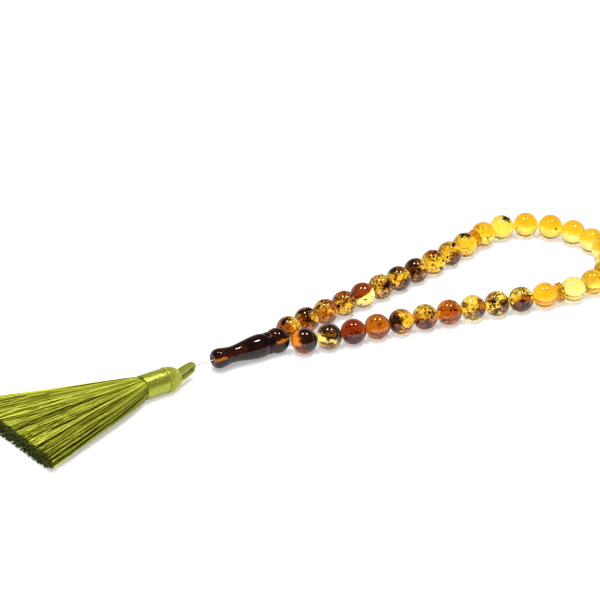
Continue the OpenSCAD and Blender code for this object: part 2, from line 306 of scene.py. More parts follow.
@dataclass(frozen=True)
class AmberFinish:
    """Polished amber: a cloudy body, patches of other tones, dark plant specks and an unseen bore."""

    body: Amber
    patches: Tuple[Patch, ...] = ()
    specks: float = 0.0
    seed: int = 1
    ragged: float = 1.5
    speck_rim: Colour = (0.16, 0.02, 0.0004)
    speck_colour: Colour = (0.0009, 0.0002, 0.0001)
    refraction: float = 1.54
    gloss: float = 0.12
    seed_shift: float = 7.3
    edge_noise: Noise = (2.6, 6.0, 0.65)
    cloud_noise: Noise = (1.3, 4.0)
    cloud_edge: float = 0.35
    cloud_band: Band = (0.42, 0.66)
    speck_noise: Noise = (4.2, 8.0, 0.75)
    cluster_noise: Noise = (1.2, 1.0)
    cluster: float = 0.45
    speck_least: float = 0.88
    speck_more: float = 0.18
    speck_soft: float = 0.05
    rough: float = 0.02
    rough_more: float = 0.03
    rough_noise: Noise = (9.0,)

    def material(self, name: str, place: Matrix, radius: float, bore_r: float) -> bpy.types.Material:
        """Makes the finish for one piece.

        Args:
            name: The material's name.
            place: Where the piece is; its bore runs along the place's Z.
            radius: The piece's radius, in metres.
            bore_r: A radius just outside the bore's wall, in metres.

        Returns:
            The material.
        """
        tone = self.body.value
        glass = {"Transmission Weight": tone.clear, "IOR": self.refraction}
        paint = Paint(name, {**glass, "Specular IOR Level": self.gloss})
        graph = paint.graph
        centre = place.translation
        where = paint.place(centre, radius)
        own = paint.place(centre, radius, self.seed_shift * self.seed)
        ragged = graph.waver(own, *self.edge_noise)
        cloud = graph.noise(own, *self.cloud_noise) + self.cloud_edge * ragged
        colour = graph.mix(tone.bright, tone.deep, cloud.step(*self.cloud_band))
        # Patches of other tones; the honey ones over a clear bead's top are partly painted shade.
        for patch in self.patches:
            side = tuple(VIEW.towards(*patch.side))
            reach = graph.vector("DOT_PRODUCT", where, side) + ragged * self.ragged
            share = reach.step(patch.edge - patch.soft, patch.edge + patch.soft)
            colour = graph.mix(colour, patch.tone.value.skin(), share)
        if self.specks:
            colour = self._specked(graph, own, colour)
        axis = tuple(place.col[2].to_3d())
        off_axis = graph.vector("LENGTH", graph.vector("CROSS_PRODUCT", where, axis))
        bored = off_axis < bore_r / radius
        paint.feed("Base Color", colour)
        paint.feed("Roughness", self.rough + self.rough_more * graph.noise(own, *self.rough_noise))
        paint.feed("Alpha", 1 - bored)
        return paint.material

    def _specked(self, graph: Graph, own: Sock, colour: Sock) -> Sock:
        """Adds plant specks, which are brown at the rim and black inside.

        Args:
            graph: The material's graph.
            own: The place on the piece.
            colour: The amber's colour.

        Returns:
            The colour with specks.
        """
        clusters = graph.noise(own, *self.cluster_noise)
        fray = graph.noise(own, *self.speck_noise) + self.cluster * clusters
        rim = self.speck_least - self.speck_more * self.specks
        colour = graph.mix(colour, self.speck_rim, fray.step(rim - self.speck_soft, rim))
        return graph.mix(colour, self.speck_colour, fray.step(rim, rim + self.speck_soft))


@dataclass(frozen=True)
class ImamFinish:
    """Dark cherry amber with a painted glow: a thin orange streak painted into its colour at either end of
    its bore, on the near side.
    """

    dark: Colour = (0.012, 0.004, 0.003)
    red: Colour = (0.09, 0.014, 0.004)
    # Painted light: the colour of the glow painted where light comes through the bore.
    glow: Colour = (1.0, 0.27, 0.01)
    clear: float = 0.35
    refraction: float = 1.54
    gloss: float = 0.2
    cloud_noise: Noise = (1.2, 4.0)
    cloud_band: Band = (0.42, 0.72)
    knob_streak: float = 0.95
    ball_streak: float = 1.6
    streak_half: float = 0.1
    streak_band: Band = (0.3, 1.4)
    streak_fade: float = 0.2
    streak_side: Way = (0.0, -0.16, 1.0)
    streak_noise: Noise = (2.5, 3.0)
    streak_wander: float = 0.3
    front_band: Band = (0.1, 0.3)
    rough: float = 0.03
    rough_more: float = 0.03
    rough_noise: Noise = (6.0,)

    def material(self, name: str, end: Sequence[float], length: float, radius: float) -> bpy.types.Material:
        """Makes the finish.

        Args:
            name: The material's name.
            end: The middle of the knob's face, from which the piece runs along +X, in metres.
            length: The piece's length, in metres.
            radius: The piece's radius, in metres.

        Returns:
            The material.
        """
        glass = {"Transmission Weight": self.clear, "IOR": self.refraction}
        paint = Paint(name, {**glass, "Specular IOR Level": self.gloss})
        graph = paint.graph
        where = paint.place(end, radius)
        cloud = graph.noise(where, *self.cloud_noise)
        colour = graph.mix(self.dark, self.red, cloud.step(*self.cloud_band))
        x, y, z = graph.parts(where)
        # Painted glow: a thin streak at either end of the bore, on the near side, is painted in the glow
        # colour.
        knob, ball = self.knob_streak, length / radius - self.ball_streak
        glow_ends = (1 - x.step(knob - self.streak_fade, knob)) + x.step(ball, ball + self.streak_fade)
        facing = VIEW.towards(*self.streak_side)
        wander = graph.waver(where, *self.streak_noise) * self.streak_wander
        beside = y * facing.z - z * facing.y + wander
        inner, outer = (share * self.streak_half**2 for share in self.streak_band)
        streak = 1 - (beside * beside).step(inner, outer)
        glow_front = (y * facing.y + z * facing.z).step(*self.front_band)
        paint.feed("Base Color", graph.mix(colour, self.glow, glow_ends * streak * glow_front))
        paint.feed("Roughness", self.rough + self.rough_more * graph.noise(where, *self.rough_noise))
        return paint.material


@dataclass(frozen=True)
class SpeckFinish:
    """Plant crumbs inside the amber: dull, dark brown."""

    dark: Colour = (0.015, 0.007, 0.003)
    light: Colour = (0.11, 0.035, 0.008)
    rough: float = 0.7
    noise: Noise = (1.3,)
    band: Band = (0.45, 0.7)

    def material(self, name: str) -> bpy.types.Material:
        """Makes the finish.

        Args:
            name: The material's name.

        Returns:
            The material.
        """
        paint = Paint(name, {"Roughness": self.rough})
        shade = paint.graph.noise(paint.place((0, 0, 0), MM), *self.noise)
        paint.feed("Base Color", paint.graph.mix(self.dark, self.light, shade.step(*self.band)))
        return paint.material


@dataclass(frozen=True)
class SilkFinish:
    """Satin silk strands: each strand has its own tone, and the cut ends are painted dark, as painted
    shade.
    """

    light: Colour = (0.8, 0.83, 0.1)
    mid: Colour = (0.37, 0.4, 0.02)
    dark: Colour = (0.03, 0.036, 0.001)
    # Painted shade: the dark colour of the strands' cut ends.
    cut: Colour = (0.07, 0.085, 0.004)
    metal: float = 0.3
    rough: float = 0.3
    rough_more: float = 0.15
    gloss: float = 0.12
    streak_along: float = 7.0
    streak_across: float = 60.0
    tone_share: float = 0.8
    streak_share: float = 0.4
    mid_band: Band = (0.15, 0.55)
    light_band: Band = (0.5, 1.0)
    cut_shade_band: Band = (0.98, 0.995)

    def material(self, name: str) -> bpy.types.Material:
        """Makes the finish.

        Args:
            name: The material's name.

        Returns:
            The material, for a mesh that carries the numbers "tone" and "along".
        """
        paint = Paint(name, {"Metallic": self.metal, "Specular IOR Level": self.gloss})
        graph = paint.graph
        tone = paint.attribute("tone")
        along = paint.attribute("along")
        where = graph.xyz(along * self.streak_along, tone * self.streak_across, 0.0)
        streak = graph.noise(where, 1.0)
        shade = tone * self.tone_share + streak * self.streak_share
        colour = graph.mix(self.dark, self.mid, shade.step(*self.mid_band))
        colour = graph.mix(colour, self.light, shade.step(*self.light_band))
        # The cut ends are painted darker: painted shade.
        paint.feed("Base Color", graph.mix(colour, self.cut, along.step(*self.cut_shade_band)))
        paint.feed("Roughness", self.rough + self.rough_more * (1 - streak))
        return paint.material


@dataclass(frozen=True)
class SatinFinish:
    """Wound satin thread: a smooth sheen, with turns a little lighter and darker."""

    light: Colour = (0.6, 0.64, 0.08)
    dark: Colour = (0.3, 0.33, 0.02)
    metal: float = 0.55
    rough: float = 0.22
    rough_more: float = 0.15
    gloss: float = 0.4
    turns_scale: float = 160.0
    turns_share: float = 0.3
    grain_noise: Noise = (2.2, 4.0, 0.7)
    grain_share: float = 0.8
    band: Band = (0.4, 0.72)

    def material(self, name: str) -> bpy.types.Material:
        """Makes the finish.

        Args:
            name: The material's name.

        Returns:
            The material, for a mesh that carries the number "along".
        """
        paint = Paint(name, {"Metallic": self.metal, "Specular IOR Level": self.gloss})
        graph = paint.graph
        turns = graph.noise(graph.xyz(paint.attribute("along") * self.turns_scale, 0.0, 0.0), 1.0)
        grain = graph.noise(paint.place((0, 0, 0), MM), *self.grain_noise)
        shade = turns * self.turns_share + grain * self.grain_share
        paint.feed("Base Color", graph.mix(self.dark, self.light, shade.step(*self.band)))
        paint.feed("Roughness", self.rough + self.rough_more * grain)
        return paint.material


@dataclass(frozen=True)
class ThreadFinish:
    """Plain twisted thread."""

    light: Colour = (0.9, 0.8, 0.62)
    dark: Colour = (0.82, 0.7, 0.5)
    sheen: float = 0.1
    noise: Noise = (5.0,)
    band: Band = (0.2, 0.6)
    rough: float = 0.55
    rough_more: float = 0.25

    def material(self, name: str) -> bpy.types.Material:
        """Makes the finish.

        Args:
            name: The material's name.

        Returns:
            The material.
        """
        paint = Paint(name, {"Sheen Weight": self.sheen})
        fuzz = paint.graph.noise(paint.place((0, 0, 0), MM), *self.noise)
        paint.feed("Base Color", paint.graph.mix(self.dark, self.light, fuzz.step(*self.band)))
        paint.feed("Roughness", self.rough + self.rough_more * fuzz)
        return paint.material


class Shape:
    """A Geometry Nodes tree with named inputs, which makes plain meshes."""

    def __init__(self, name: str, sizes: Sequence[str], counts: Sequence[str] = ()) -> None:
        """Opens the tree.

        Args:
            name: The tree's name.
            sizes: The names of its inputs that are numbers.
            counts: The names of its inputs that are whole numbers.
        """
        self.tree = bpy.data.node_groups.new(name, "GeometryNodeTree")
        self.graph = Graph(self.tree)
        numbers = {**dict.fromkeys(counts, "Int"), **dict.fromkeys(sizes, "Float")}
        every = {"Geometry": "Geometry", **numbers, "Finish": "Material"}
        for label, kind in every.items():
            self.tree.interface.new_socket(label, in_out="INPUT", socket_type="NodeSocket" + kind)
        self.tree.interface.new_socket("Geometry", in_out="OUTPUT", socket_type="NodeSocketGeometry")
        self.source = self.tree.nodes.new("NodeGroupInput")
        self.sink = self.tree.nodes.new("NodeGroupOutput")

    def size(self, name: str) -> Sock:
        """Gives one of the tree's inputs."""
        return Sock(self.graph, self.source.outputs[name])

    def factor(self) -> Sock:
        """Gives how far along its curve a point is, from 0 to 1."""
        return self.graph.add("GeometryNodeSplineParameter", None, None, "Factor")

    def copies(self, curve: Sock, count: Sock) -> Tuple[Sock, Sock]:
        """Repeats a curve.

        Args:
            curve: The curve.
            count: How often it is repeated.

        Returns:
            The copies, and the number of each.
        """
        sizes = {"Geometry": curve, "Amount": count}
        made = self.graph.add("GeometryNodeDuplicateElements", {"domain": "SPLINE"}, sizes)
        return made, Sock(self.graph, made.socket.node.outputs["Duplicate Index"])

    def strands(self, count: Sock, steps: int) -> Tuple[Sock, Sock]:
        """Makes straight strands that all lie in one place.

        Args:
            count: How many strands.
            steps: Points along a strand.

        Returns:
            The strands, and the number of each.
        """
        line = self.graph.add("GeometryNodeCurvePrimitiveLine", None, {"End": (1.0, 0.0, 0.0)})
        even = {"Curve": line, "Count": steps}
        line = self.graph.add("GeometryNodeResampleCurve", {"mode": "COUNT"}, even)
        return self.copies(line, count)

    def tube(self, curve: Sock, radius: Value, sides: int) -> Sock:
        """Sweeps a round section along curves.

        Args:
            curve: The curves to follow.
            radius: The section's radius, which may vary along a curve.
            sides: How many sides the section has.

        Returns:
            The swept mesh.
        """
        circle = {"Resolution": sides, "Radius": 1.0}
        ring = self.graph.add("GeometryNodeCurvePrimitiveCircle", None, circle)
        sizes = {"Curve": curve, "Profile Curve": ring, "Scale": radius, "Fill Caps": True}
        return self.graph.add("GeometryNodeCurveToMesh", None, sizes)

    def keep(self, geometry: Sock, name: str, value: Sock) -> Sock:
        """Stores a number on the points, under a name that a finish reads."""
        sizes = {"Geometry": geometry, "Name": name, "Value": value}
        return self.graph.add("GeometryNodeStoreNamedAttribute", {"data_type": "FLOAT"}, sizes)

    def move(self, geometry: Sock, place: Sock) -> Sock:
        """Sets every point's place."""
        return self.graph.add("GeometryNodeSetPosition", None, {"Geometry": geometry, "Position": place})

    def close(self, geometry: Sock) -> None:
        """Ends the tree with real geometry in its finish.

        Args:
            geometry: What the tree has made.
        """
        real = self.graph.add("GeometryNodeRealizeInstances", None, {"Geometry": geometry})
        dressed = {"Geometry": real, "Material": self.size("Finish")}
        done = self.graph.add("GeometryNodeSetMaterial", None, dressed)
        self.graph.set(self.sink.inputs["Geometry"], done)

    def make(
        self,
        name: str,
        values: Dict[str, object],
        place: Matrix,
        path: Sequence[Vector] = (),
        closed: bool = False,
    ) -> bpy.types.Object:
        """Runs the tree once.

        Args:
            name: The piece's name.
            values: The tree's inputs.
            place: Where the result goes in the part's frame.
            path: Points that the tree follows, where it follows a path.
            closed: Whether the path's end joins its start.

        Returns:
            A plain mesh object at the origin.
        """
        ends = len(path) if closed else len(path) - 1
        links = [(i, (i + 1) % len(path)) for i in range(ends)]
        base = bpy.data.meshes.new(name + "_path")
        base.from_pydata([tuple(p) for p in path], links, [])
        holder = bpy.data.objects.new(name + "_path", base)
        bpy.context.scene.collection.objects.link(holder)
        modifier = holder.modifiers.new(name, "NODES")
        modifier.node_group = self.tree
        for item in self.tree.interface.items_tree:
            if item.in_out == "INPUT" and item.name in values:
                modifier[item.identifier] = values[item.name]
        graph = bpy.context.evaluated_depsgraph_get()
        mesh = bpy.data.meshes.new_from_object(holder.evaluated_get(graph), depsgraph=graph)
        holder.modifiers.remove(modifier)
        bpy.data.objects.remove(holder)
        mesh.name = name
        mesh.transform(place)
        mesh.shade_smooth()
        return put(name, mesh)


class TwistedCord(Shape):
    """A cord of twisted plies along a path, which may be pinched in the middle."""

    pinch_power = 6.0

    def __init__(self, sides: int) -> None:
        """Builds the tree.

        Args:
            sides: Sides of a ply.
        """
        sizes = ["Ply Radius", "Twist Radius", "Pitch", "Pinch", "Step"]
        super().__init__("twisted_cord", sizes, ["Plies"])
        graph = self.graph
        path = graph.add("GeometryNodeMeshToCurve", None, {"Mesh": self.size("Geometry")})
        even = {"Curve": path, "Length": self.size("Step")}
        path = graph.add("GeometryNodeResampleCurve", {"mode": "LENGTH"}, even)
        plies, number = self.copies(path, self.size("Plies"))
        length = graph.add("GeometryNodeSplineParameter", None, None, "Length")
        turn = 2 * math.pi * (length / self.size("Pitch") + number / self.size("Plies"))
        normal = graph.add("GeometryNodeInputNormal")
        across = graph.vector("CROSS_PRODUCT", graph.add("GeometryNodeInputTangent"), normal)
        out = graph.vector("ADD", graph.scaled(normal, turn.cos()), graph.scaled(across, turn.sin()))
        along = self.factor()
        plies = self.keep(plies, "along", along)
        pinch = self.size("Pinch") * (along * math.pi).sin() ** self.pinch_power
        radius = self.size("Twist Radius") * (1 - pinch)
        offset = {"Geometry": plies, "Offset": graph.scaled(out, radius)}
        twisted = graph.add("GeometryNodeSetPosition", None, offset)
        self.close(self.tube(twisted, self.size("Ply Radius"), sides))


class Winding(Shape):
    """Thread wound in close turns round the Z axis, swelling between its ends."""

    crown_power = 0.4

    def __init__(self, steps: int, sides: int) -> None:
        """Builds the tree.

        Args:
            steps: Points in each turn.
            sides: Sides of the thread.
        """
        super().__init__("winding", ["Turns", "Length", "Inner", "Swell", "Thread Radius"])
        graph = self.graph
        helix = {
            "Resolution": steps,
            "Rotations": self.size("Turns"),
            "Start Radius": 1.0,
            "End Radius": 1.0,
            "Height": self.size("Length"),
        }
        curve = graph.add("GeometryNodeCurveSpiral", None, helix)
        along = self.factor()
        curve = self.keep(curve, "along", along)
        crown = (along * math.pi).sin().at_least(0.0) ** self.crown_power
        radius = self.size("Inner") + self.size("Swell") * crown
        grow = graph.xyz(radius, radius, 1.0)
        place = graph.vector("MULTIPLY", graph.add("GeometryNodeInputPosition"), grow)
        self.close(self.tube(self.move(curve, place), self.size("Thread Radius"), sides))


class DomeStrands(Shape):
    """Strands laid side by side over a dome, from its top to its rim."""

    top_angle = 0.12
    along_end = 0.9
    aside = 0.6
    slant = 0.8
    uneven = 0.02

    def __init__(self, steps: int, sides: int) -> None:
        """Builds the tree.

        Args:
            steps: Points along a strand.
            sides: Sides of a strand.
        """
        super().__init__("dome_strands", ["Radius", "Height", "Strand Radius"], ["Strands"])
        graph = self.graph
        strands, number = self.strands(self.size("Strands"), steps)
        along = self.factor()
        strands = self.keep(strands, "along", along * self.along_end)
        slant = (along * 2.0) * graph.chance(-self.slant, self.slant, number, seed=6)
        wander = graph.chance(-self.aside, self.aside, number, seed=5) + slant
        turn = (number + wander) * 2 * math.pi / self.size("Strands")
        fall = self.top_angle + along * (math.pi / 2 - self.top_angle)
        lift = 1 + graph.chance(-self.uneven, self.uneven, number, seed=7)
        reach = self.size("Radius") * fall.sin() * lift
        place = graph.xyz(self.size("Height") * (1 - fall.cos()), reach * turn.cos(), reach * turn.sin())
        self.close(self.tube(self.move(strands, place), self.size("Strand Radius"), sides))


class SkirtStrands(Shape):
    """Strands of a tassel's skirt, which leave a round bundle and fan out flat."""

    corner_round = 0.7
    spread_power = 0.85
    trim = (0.99, 1.0)
    lock_tone = 0.25
    lock_scale = (4.5, 1.2, 3.1)
    lock_noise = (1.6, 3.0)
    lock_aside = 0.08
    lock_lift = 0.8
    bow_scale = (3.0, 1.1, 8.2)
    bow_noise = (1.3, 1.0)
    wave_scale = (2.6, 0.37, 3.0)
    heave_scale = (2.2, 2.4, 0.29)
    wave_noise = (1.0, 1.0)
    wave_aside = 3.2
    wave_lift = 1.6
    lean_power = 3.0
    lean_all = 0.2
    thin_start = 0.62
    thickness = (0.8, 1.15)

    def __init__(self, steps: int, sides: int) -> None:
        """Builds the tree.

        Args:
            steps: Points along a strand.
            sides: Sides of a strand.
        """
        sizes = ["Length", "Bundle", "Half Width", "Half Height", "Drift", "Axis Height", "Strand Radius"]
        super().__init__("skirt_strands", sizes + ["Stray", "Lean", "Bow"], ["Columns", "Rows"])
        graph = self.graph
        strands, number = self.strands(self.size("Columns") * self.size("Rows"), steps)
        factor = self.factor()
        strands = self.keep(strands, "along", factor)
        place, along, lock = self._strand_place(number, factor)
        tone = graph.chance(0.0, 1.0, number, seed=11) + self.lock_tone * lock
        strands = self.keep(strands, "tone", tone)
        thick = self.size("Strand Radius") * (self.thin_start + (1 - self.thin_start) * along)
        thick = thick * graph.chance(*self.thickness, number, seed=12)
        self.close(self.tube(self.move(strands, place), thick, sides))

    def _strand_place(self, number: Sock, factor: Sock) -> Tuple[Sock, Sock, Sock]:
        """Works out where a strand runs.

        Args:
            number: The strand's number.
            factor: How far along the strand a point is, from 0 to 1.

        Returns:
            The point's place, how far along the skirt it is, and which lock the strand is in.
        """
        graph = self.graph
        columns = self.size("Columns")
        column = number % columns + graph.chance(0.0, 1.0, number, seed=13)
        row = (number / columns).floor() + graph.chance(0.0, 1.0, number, seed=14)
        u = 2 * column / columns - 1
        v = 2 * row / self.size("Rows") - 1
        across = u * (1 - self.corner_round / 2 * v * v).root()
        above = v * (1 - self.corner_round / 2 * u * u).root()
        along = factor * graph.chance(*self.trim, number, seed=15)
        lock = self._waver((u, v, 1.0), self.lock_scale, self.lock_noise)
        wave = self._waver((along, number, u), self.wave_scale, self.wave_noise)
        heave = self._waver((along, u, number), self.heave_scale, self.wave_noise)
        bow = self._waver((u, v, 1.0), self.bow_scale, self.bow_noise)
        stray = self.size("Stray") * along
        lean = self.size("Lean") * along * graph.chance(-1.0, 1.0, number, seed=16) ** self.lean_power
        lean = lean + self.lean_all * along * graph.chance(-1.0, 1.0, number, seed=17)
        across = across + (lean + self.size("Bow") * bow * along * (1 - along)) * (1 - u * u)
        reach = self.size("Length") * along
        flat = 1 - along
        bundle = self.size("Bundle")
        wide = bundle + (self.size("Half Width") - bundle) * along ** self.spread_power
        half = bundle + (self.size("Half Height") - bundle) * along * along
        bed = (self.size("Axis Height") - bundle) * flat * flat
        y = wide * (across + self.lock_aside * lock * along) - self.size("Drift") * along
        y = y + stray * wave * self.wave_aside
        z = bed + half * (1 + above) + stray * (heave * self.wave_lift + lock * self.lock_lift)
        z = z.at_least(self.size("Strand Radius")) - self.size("Axis Height")
        return graph.xyz(reach, y, z), along, lock

    def _waver(self, parts: Sequence[Value], scale: Way, noise: Noise) -> Sock:
        """Gives noise from -0.5 to 0.5 over three numbers, each by its own scale."""
        return self.graph.waver(self.graph.xyz(*(part * k for part, k in zip(parts, scale))), *noise)


class Crumbs(Shape):
    """Small flat crumbs scattered inside a ball, clear of its bore."""

    depths = (0.05, 1.0)
    depth_power = 0.45
    largeness = (0.35, 1.0)
    large_power = 2.0
    length = 1.3
    widths = (0.4, 1.0)
    thickness = 0.3

    def __init__(self) -> None:
        """Builds the tree."""
        super().__init__("crumbs", ["Reach", "Bore", "Crumb"], ["Count", "Seed"])
        graph = self.graph
        index = graph.add("GeometryNodeInputIndex")
        seed = self.size("Seed")
        outwards = graph.vector("NORMALIZE", self._random(index, seed, -1.0, 1.0))
        depth = graph.chance(*self.depths, index, seed=21) ** self.depth_power
        spot = graph.scaled(outwards, depth * self.size("Reach"))
        points = graph.add("GeometryNodePoints", None, {"Count": self.size("Count"), "Position": spot})
        where = graph.add("GeometryNodeInputPosition")
        off_axis = graph.vector("LENGTH", graph.vector("MULTIPLY", where, (1.0, 1.0, 0.0)))
        outside = self.size("Reach") < graph.vector("LENGTH", where)
        in_bore = off_axis < self.size("Bore")
        unwanted = {"Geometry": points, "Selection": outside + in_bore}
        points = graph.add("GeometryNodeDeleteGeometry", {"domain": "POINT"}, unwanted)
        ball = {"Radius": self.size("Crumb"), "Subdivisions": 1}
        crumb = graph.add("GeometryNodeMeshIcoSphere", None, ball)
        large = graph.chance(*self.largeness, index, seed=22) ** self.large_power
        wide = large * graph.chance(*self.widths, index, seed=23)
        flat = graph.xyz(large * self.length, wide, large * self.thickness)
        turns = self._random(index, seed, 0.0, 2 * math.pi)
        sizes = {"Points": points, "Instance": crumb, "Rotation": turns, "Scale": flat}
        self.close(graph.add("GeometryNodeInstanceOnPoints", None, sizes))

    def _random(self, index: Sock, seed: Sock, low: float, high: float) -> Sock:
        """Gives each crumb its own fixed random vector."""
        sizes = {"Min": (low,) * 3, "Max": (high,) * 3, "ID": index, "Seed": seed}
        return self.graph.add("FunctionNodeRandomValue", {"data_type": "FLOAT_VECTOR"}, sizes)


def put(name: str, mesh: bpy.types.Mesh) -> bpy.types.Object:
    """Puts a mesh in the scene.

    Args:
        name: The piece's name.
        mesh: Its mesh, in the part's frame.

    Returns:
        The piece, an object at the origin.
    """
    piece = bpy.data.objects.new(name, mesh)
    bpy.context.scene.collection.objects.link(piece)
    return piece


def turned(
    name: str,
    outline: Outline,
    place: Matrix,
    material: bpy.types.Material,
    segments: int = 64,
    narrowing: Optional[Callable[[float, float], float]] = None,
) -> bpy.types.Object:
    """Turns a closed outline round the Z axis.

    Args:
        name: The piece's name.
        outline: Radius and height of each point, round the section once.
        place: Where the piece goes in the part's frame.
        material: Its finish.
        segments: Steps round the axis.
        narrowing: Gives how much a point at some radius and angle moves inwards.

    Returns:
        The piece.
    """
    count = len(outline)
    points = []
    for step in range(segments):
        angle = 2 * math.pi * step / segments
        for radius, height in outline:
            r = radius - (narrowing(radius, angle) if narrowing else 0.0)
            points.append((r * math.cos(angle), r * math.sin(angle), height))
    faces = []
    for step in range(segments):
        here, there = step * count, (step + 1) % segments * count
        for i in range(count):
            j = (i + 1) % count
            faces.append((here + i, there + i, there + j, here + j))
    mesh = bpy.data.meshes.new(name)
    mesh.from_pydata(points, [], faces)
    tidy = bmesh.new()
    tidy.from_mesh(mesh)
    bmesh.ops.remove_doubles(tidy, verts=tidy.verts, dist=WELD)
    bmesh.ops.recalc_face_normals(tidy, faces=tidy.faces)
    tidy.to_mesh(mesh)
    tidy.free()
    mesh.materials.append(material)
    mesh.transform(place)
    mesh.shade_smooth()
    return put(name, mesh)


def arc(steps: int, low: float = 0.0, high: float = 90.0) -> List[float]:
    """Gives evenly spaced angles in radians, both ends included."""
    return [math.radians(low + (high - low) * i / steps) for i in range(steps + 1)]


def eased(start: float, end: float, share: float) -> float:
    """Goes from start to end with a smooth S."""
    return start + (end - start) * (1 - math.cos(math.pi * share)) / 2


def along_axis(centre: Sequence[float], axis: Sequence[float]) -> Matrix:
    """Gives the place of a piece that is made round Z at the origin.

    Args:
        centre: Where its origin goes.
        axis: Where its Z axis points.

    Returns:
        The place as a matrix.
    """
    turn = Vector((0, 0, 1)).rotation_difference(Vector(axis)).to_matrix().to_4x4()
    return Matrix.Translation(Vector(centre)) @ turn


def settle(piece: bpy.types.Object, body: str, node: str, stands_for: bool = True) -> None:
    """Lets a piece ride on a body and reports it.

    Args:
        piece: The piece.
        body: The body it moves with.
        node: The node of the part whose material slot it has.
        stands_for: Whether it stands for that node, or only goes with a piece that does.
    """
    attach(piece, body)
    if stands_for:
        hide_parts(node)
    log.info("%s rides on %s: %d faces", piece.name, body, len(piece.data.polygons))


def joint(name: str) -> Dict[str, object]:
    """Gives one of the part's joints by name."""
    return next(j for j in frame["joints"] if j["name"] == name)


def strung_place(name: str) -> Matrix:
    """Gives the place of something on the thread, with its bore along Z."""
    spin = joint(name + "_spin")
    return along_axis(spin["pos_m"], spin["axis"])


@dataclass(frozen=True)
class View:
    """How the strand is looked at: where from, at what, and through which lens."""

    azimuth: float = math.radians(33.97)
    elevation: float = math.radians(26.82)
    distance: float = 1500 * MM
    target: Way = (8.81 * MM, 21.8 * MM, 5 * MM)
    lens_mm: float = 230.45

    def away(self) -> Vector:
        """Gives the direction in which one looks.

        Returns:
            A vector of length one.
        """
        level = math.cos(self.elevation)
        across = Vector((math.sin(self.azimuth), math.cos(self.azimuth), 0))
        return level * across - math.sin(self.elevation) * Vector((0, 0, 1))

    def right(self) -> Vector:
        """Gives the direction to the right."""
        return Vector((math.cos(self.azimuth), -math.sin(self.azimuth), 0))

    def towards(self, right: float, up: float, near: float) -> Vector:
        """Gives a direction by how far it goes right, up and nearer."""
        upward = self.right().cross(self.away())
        return (right * self.right() + up * upward - near * self.away()).normalized()


VIEW = View()


@dataclass(frozen=True)
class BeadLook:
    """What one bead is made of, as it lies: its body, its patches, and what is caught in it."""

    body: Amber
    patches: Tuple[Patch, ...] = ()
    specks: float = 0.0
    crumbs: int = 0
    ragged: float = 1.5


BROWN_TOP = Patch(Amber.BROWN, (-0.1, 0.8, 0.5), 0.65, 0.25)
BROWN_FOOT = Patch(Amber.BROWN, (0.0, -0.7, 0.6), 0.5, 0.25)
# Partly the amber's own tone and partly painted shade: a deeper honey tone over the upper half of a clear
# bead.
HONEY_TOP_SHADE = Patch(Amber.HONEY, (0.0, 0.9, 0.3), 0.05, 0.25)

FARTHER_RUN = [
    BeadLook(Amber.GOLD, (Patch(Amber.BROWN, (-0.6, -0.2, 0.6), 0.4), BROWN_FOOT), 0.5, 50),
    BeadLook(Amber.GOLD, (Patch(Amber.BLACK, (-0.4, 0.1, 0.8), 0.75), BROWN_FOOT), 0.38, 50),
    BeadLook(Amber.GOLD, (Patch(Amber.BROWN, (0.6, 0.7, 0.4), 0.6), BROWN_FOOT), 0.45, 60),
    BeadLook(Amber.GOLD, (BROWN_TOP,), 0.5, 70),
    BeadLook(Amber.LEMON, (Patch(Amber.CHERRY, (-0.5, 0.8, 0.3), 0.15, 0.04),), 0.1, 16, 0.25),
    BeadLook(Amber.GOLD, (), 0.45, 110),
    BeadLook(
        Amber.HONEY,
        (Patch(Amber.BLACK, (-0.2, 0.9, 0.3), 0.65), Patch(Amber.BLACK, (0.7, -0.5, 0.4), 0.6)),
        0.45,
        50,
    ),
    BeadLook(Amber.GOLD, (Patch(Amber.BLACK, (-0.5, 0.3, 0.7), 0.45),), 0.35, 30),
    BeadLook(Amber.HONEY, (BROWN_TOP,), 0.35, 70),
    BeadLook(Amber.HONEY, (Patch(Amber.BLACK, (0.5, -0.6, 0.5), 0.72, 0.05),), 0.42, 60),
    BeadLook(Amber.HONEY, (Patch(Amber.BLACK, (0.0, 0.9, 0.4), 0.88, 0.05),), 0.04, 5, 1.0),
    BeadLook(Amber.STRAW, (Patch(Amber.BROWN, (-0.1, 0.9, 0.4), 0.7), HONEY_TOP_SHADE), 0.25, 20),
    BeadLook(Amber.STRAW, (Patch(Amber.BLACK, (0.3, 0.8, 0.5), 0.93, 0.05),), 0.0, 0, 1.0),
    BeadLook(Amber.STRAW, (HONEY_TOP_SHADE,), 0.0, 4),
    BeadLook(Amber.STRAW, (HONEY_TOP_SHADE,), 0.0, 8),
    BeadLook(Amber.LEMON, (HONEY_TOP_SHADE,)),
]
TIP_BEAD = [BeadLook(Amber.LEMON, (HONEY_TOP_SHADE,), 0.0, 4)]
